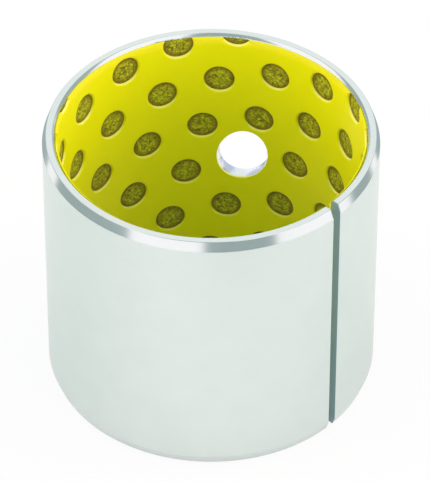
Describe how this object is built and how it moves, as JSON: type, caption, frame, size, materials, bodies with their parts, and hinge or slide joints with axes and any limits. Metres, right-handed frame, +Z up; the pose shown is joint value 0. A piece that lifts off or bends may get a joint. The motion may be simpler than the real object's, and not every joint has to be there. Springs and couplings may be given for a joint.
{
  "type": "polymer-lined wrapped bushing",
  "caption": "Rolled steel bushing with a butt joint and an oil hole, lined with a thin yellow polymer layer whose grease pockets bare the bronze beneath.",
  "frame": {"origin": "centre of the lower end, on the bore's axis", "axes": "+Z up along the bore; the oil hole faces +Y, and the butt joint is 120.7 degrees clockwise of it as seen from above"},
  "size_m": [0.055, 0.055, 0.0485],
  "materials": {
    "tinned_steel": "satin tin flash on steel",
    "sintered_bronze": "rough sintered grains",
    "yellow_polymer": "smooth, slightly glossy"
  },
  "bodies": {
    "root": {"steel_back": "tinned_steel", "bronze_interlayer": "sintered_bronze", "polymer_lining": "yellow_polymer"}
  },
  "joints": []
}
